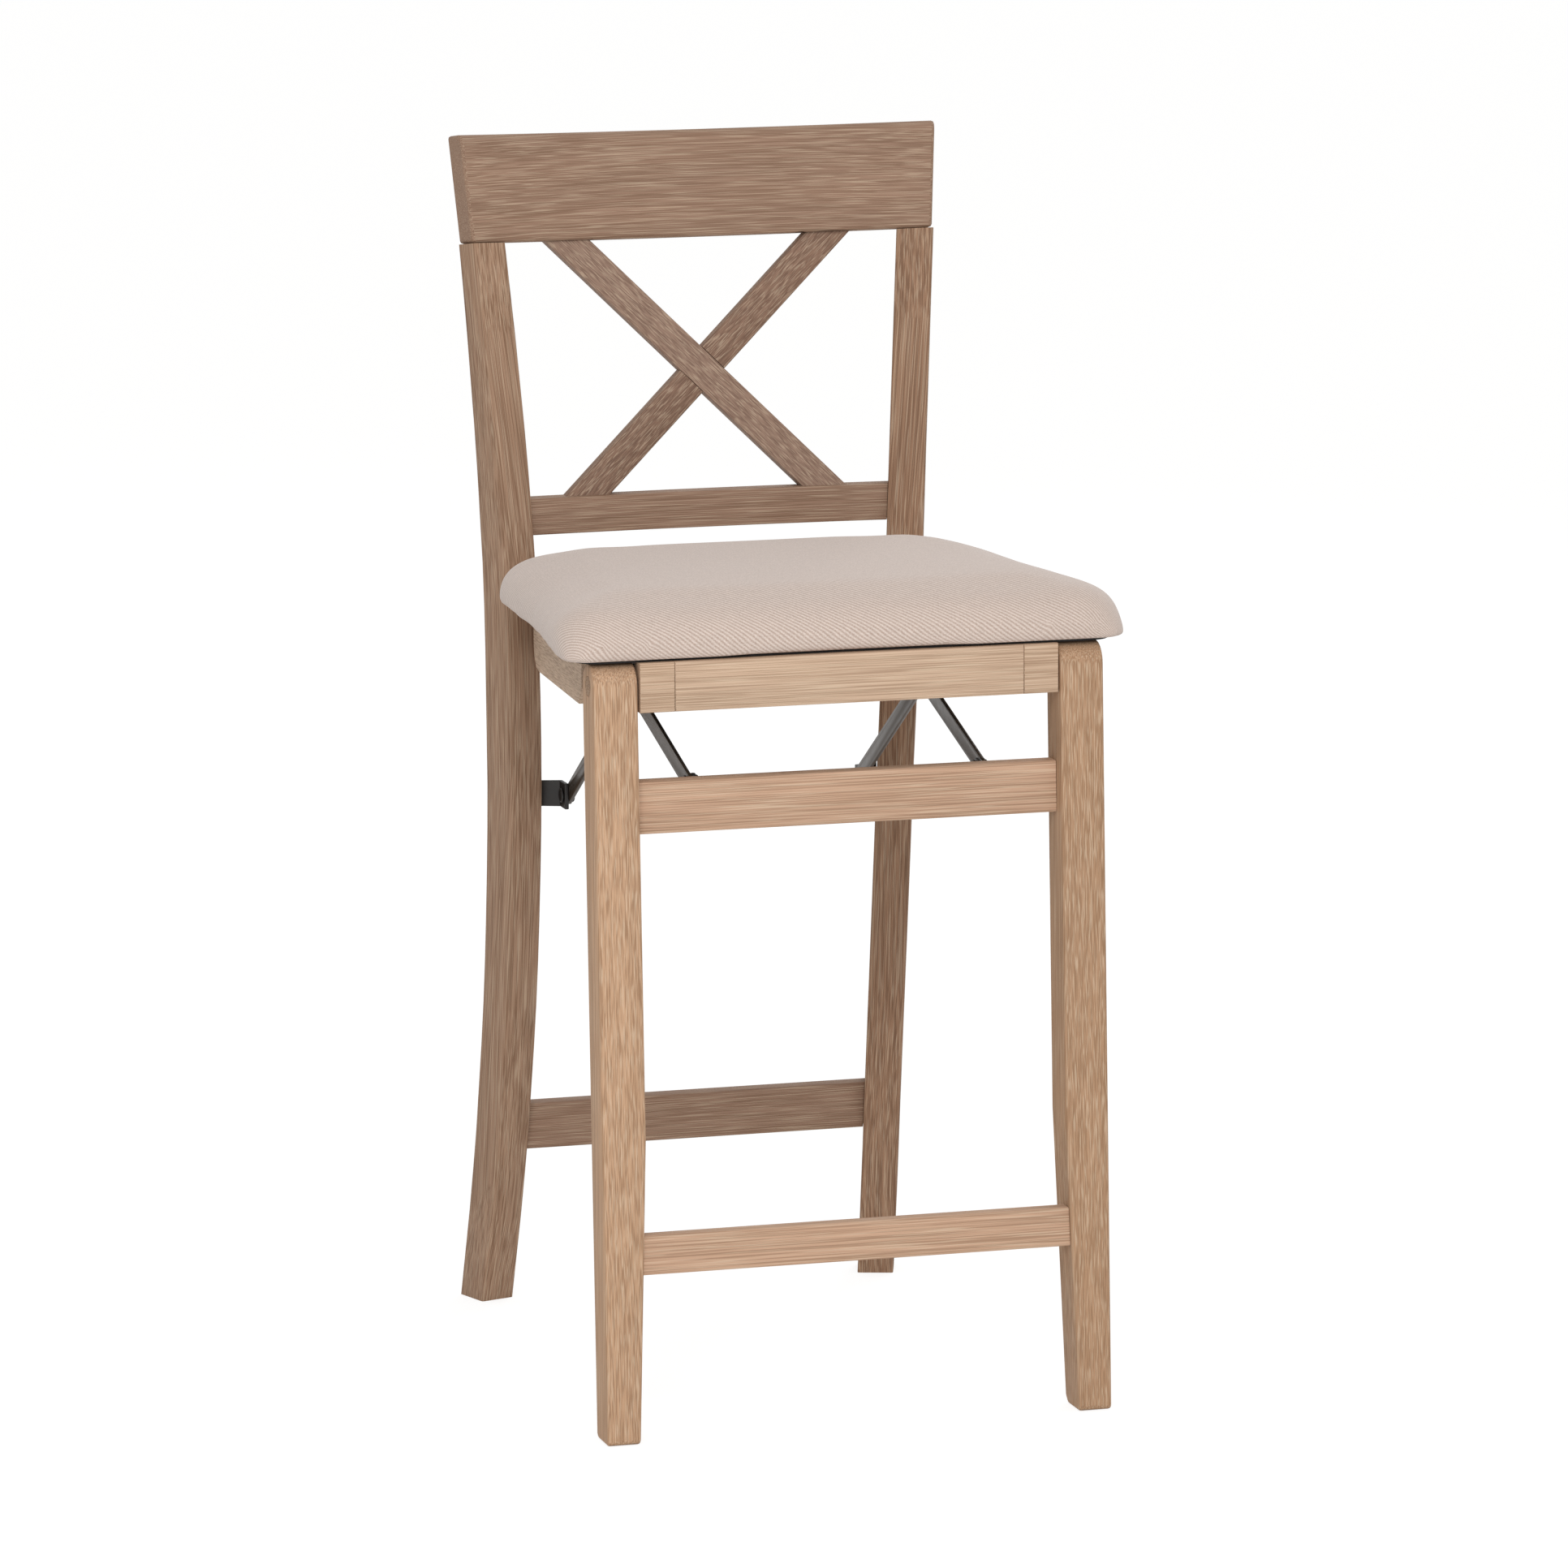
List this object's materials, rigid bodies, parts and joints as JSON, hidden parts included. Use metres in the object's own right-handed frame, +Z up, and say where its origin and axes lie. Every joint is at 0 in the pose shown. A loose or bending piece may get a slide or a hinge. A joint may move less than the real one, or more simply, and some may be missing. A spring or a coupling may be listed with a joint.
{
  "type": "folding counter stool",
  "caption": "Folding counter stool with a crossed slat back, curved rear posts, an upholstered seat and steel folding stays.",
  "frame": {"origin": "centre of the footprint on the floor", "axes": "+Z up, -Y to the front of the seat, +X to the right seen from the front"},
  "size_m": [0.4268, 0.5154, 0.9177],
  "materials": {
    "oak": "matt, limed grain",
    "oak_back": "matt, limed grain",
    "linen": "woven twill",
    "black_cloth": "matt",
    "plywood": "raw",
    "dark_steel": "satin",
    "bright_steel": "zinc plated",
    "nylon": "matt"
  },
  "bodies": {
    "back_frame": {"crest_rail": "oak_back", "cross_slat_front": "oak_back", "cross_slat_rear": "oak_back", "back_rail": "oak_back", "low_rear_rail": "oak_back", "rear_seat_rail": "oak_back", "rear_post_left": "oak_back", "rear_post_right": "oak_back", "crest_dowel_left": "oak", "crest_dowel_right": "oak", "seat_pivot_bracket_left": "dark_steel", "seat_pivot_bracket_right": "dark_steel", "seat_pivot_screw_1_left": "bright_steel", "seat_pivot_screw_1_right": "bright_steel", "seat_pivot_screw_2_left": "bright_steel", "seat_pivot_screw_2_right": "bright_steel", "post_bracket_left": "dark_steel", "post_bracket_right": "dark_steel", "post_bracket_screw_left": "bright_steel", "post_bracket_screw_right": "bright_steel", "post_rivet_left": "bright_steel", "post_rivet_right": "bright_steel"},
    "seat": {"cushion": "linen", "seat_board": "plywood", "dust_cover": "black_cloth", "seat_front_rail": "oak", "seat_block_left": "oak", "seat_block_right": "oak", "seat_side_rail_left": "oak", "seat_side_rail_right": "oak", "seat_pivot_bolt_left": "bright_steel", "seat_pivot_bolt_right": "bright_steel", "hinge_bolt_left": "bright_steel", "hinge_bolt_right": "bright_steel", "hinge_nut_left": "bright_steel", "hinge_nut_right": "bright_steel", "hinge_washer_left": "nylon", "hinge_washer_right": "nylon"},
    "front_frame": {"upper_rail": "oak", "foot_rail": "oak", "front_leg_left": "oak", "front_leg_right": "oak", "hinge_plug_left": "oak", "hinge_plug_right": "oak", "upper_rail_bracket_left": "dark_steel", "upper_rail_bracket_right": "dark_steel", "upper_rail_screw_1_left": "bright_steel", "upper_rail_screw_1_right": "bright_steel", "upper_rail_screw_2_left": "bright_steel", "upper_rail_screw_2_right": "bright_steel", "upper_rail_rivet_left": "bright_steel", "upper_rail_rivet_right": "bright_steel"},
    "rear_stay_left": {"rear_stay_left": "dark_steel", "knee_rivet_left": "bright_steel"},
    "rear_stay_right": {"rear_stay_right": "dark_steel", "knee_rivet_right": "bright_steel"},
    "front_stay_left": {"front_stay_left": "dark_steel"},
    "front_stay_right": {"front_stay_right": "dark_steel"}
  },
  "joints": [
    {"name": "seat_fold", "type": "hinge", "parent": "back_frame", "child": "seat", "pos_m": [0, 0.07169, 0.557], "axis": [-1, 0, 0], "range_deg": [0, 80]},
    {"name": "front_frame_fold", "type": "hinge", "parent": "seat", "child": "front_frame", "pos_m": [0, -0.21831, 0.554], "axis": [-1, 0, 0], "range_deg": [-81, 1]},
    {"name": "rear_stay_left_swing", "type": "hinge", "parent": "back_frame", "child": "rear_stay_left", "pos_m": [-0.1149, 0.13769, 0.412], "axis": [-1, 0, 0], "range_deg": [-1, 38]},
    {"name": "front_stay_left_swing", "type": "hinge", "parent": "front_frame", "child": "front_stay_left", "pos_m": [-0.1114, -0.19631, 0.476], "axis": [-1, 0, 0], "range_deg": [-1, 103]},
    {"name": "rear_stay_right_swing", "type": "hinge", "parent": "back_frame", "child": "rear_stay_right", "pos_m": [0.1149, 0.13769, 0.412], "axis": [-1, 0, 0], "range_deg": [-1, 38]},
    {"name": "front_stay_right_swing", "type": "hinge", "parent": "front_frame", "child": "front_stay_right", "pos_m": [0.1114, -0.19631, 0.476], "axis": [-1, 0, 0], "range_deg": [-1, 103]}
  ],
  "couplings": [
    {"joint": "front_frame_fold", "follows": "seat_fold", "ratio": -1},
    {"joint": "rear_stay_left_swing", "follows": "seat_fold", "ratio": 0.45082},
    {"joint": "front_stay_left_swing", "follows": "seat_fold", "ratio": 1.2698},
    {"joint": "rear_stay_right_swing", "follows": "seat_fold", "ratio": 0.45082},
    {"joint": "front_stay_right_swing", "follows": "seat_fold", "ratio": 1.2698}
  ]
}
